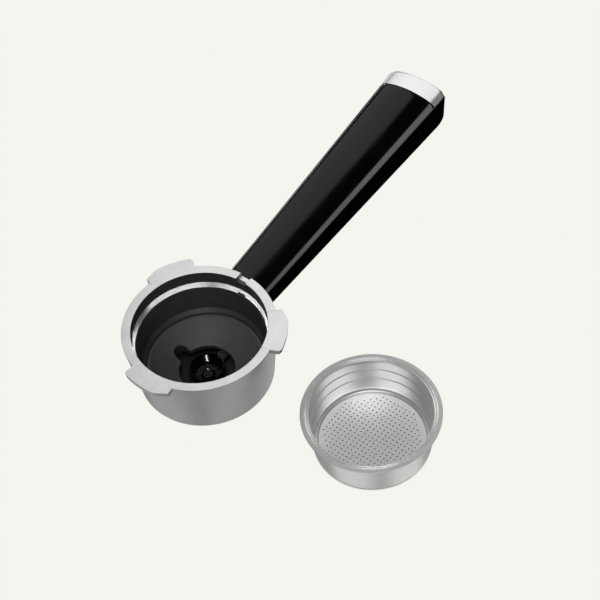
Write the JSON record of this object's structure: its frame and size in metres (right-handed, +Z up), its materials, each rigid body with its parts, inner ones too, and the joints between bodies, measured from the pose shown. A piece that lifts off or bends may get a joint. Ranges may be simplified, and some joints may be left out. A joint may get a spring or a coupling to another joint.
{
  "type": "portafilter",
  "caption": "Espresso filter holder: lugged steel cup with black liner, twin spout, tapered black handle with a silver end cap, and a loose perforated basket.",
  "frame": {"origin": "centre of the flange's top face, where the holder meets the machine's group head", "axes": "+Z up out of the cup, +X along the handle, +Y to the handle's left seen from the cup"},
  "size_m": [0.2026, 0.1348, 0.0583],
  "materials": {
    "satin_steel": "satin, faint vertical bands",
    "bright_steel": "polished strip",
    "satin_silver": "fine brushed across the handle",
    "basket_steel": "pressed and lightly polished",
    "zinc_steel": "zinc plated",
    "liner_black": "moulded, slightly satin",
    "gloss_black": "polished moulding",
    "handle_black": "soft gloss with a fine grain",
    "core_nylon": "glass-filled moulding",
    "silicone_red": "matt silicone"
  },
  "bodies": {
    "holder": {"cup_shell": "satin_steel", "cup_liner": "liner_black", "retaining_ring": "bright_steel", "liner_screw_1": "zinc_steel", "liner_screw_2": "zinc_steel", "liner_screw_3": "zinc_steel", "handle_cover": "handle_black", "handle_shell": "gloss_black", "end_cap": "satin_silver", "handle_core": "core_nylon", "handle_rod": "zinc_steel", "rod_washer": "zinc_steel", "rod_nut": "zinc_steel", "cover_screw_1": "zinc_steel", "cover_screw_2": "zinc_steel"},
    "spout": {"outlet_nozzle": "gloss_black", "nozzle_seal": "silicone_red", "spout_body": "gloss_black", "spout_gasket": "silicone_red", "valve_retainer": "core_nylon", "valve_spring": "zinc_steel"},
    "valve": {"valve_plunger": "core_nylon", "valve_seal": "silicone_red"},
    "basket": {"filter_basket": "basket_steel"}
  },
  "joints": [
    {"name": "basket_lift", "type": "slide", "parent": "holder", "child": "basket", "axis": [0, 0, 1], "range_m": [0, 0.08]},
    {"name": "spout_twist", "type": "hinge", "parent": "holder", "child": "spout", "pos_m": [0, 0, -0.0352], "axis": [0, 0, 1], "range_deg": [0, 90]},
    {"name": "valve_plunge", "type": "slide", "parent": "spout", "child": "valve", "axis": [0, 0, -1], "range_m": [0, 0.0018], "stiffness_N_per_m": 400, "springref_m": -0.003, "deforming": ["valve_spring"]}
  ]
}
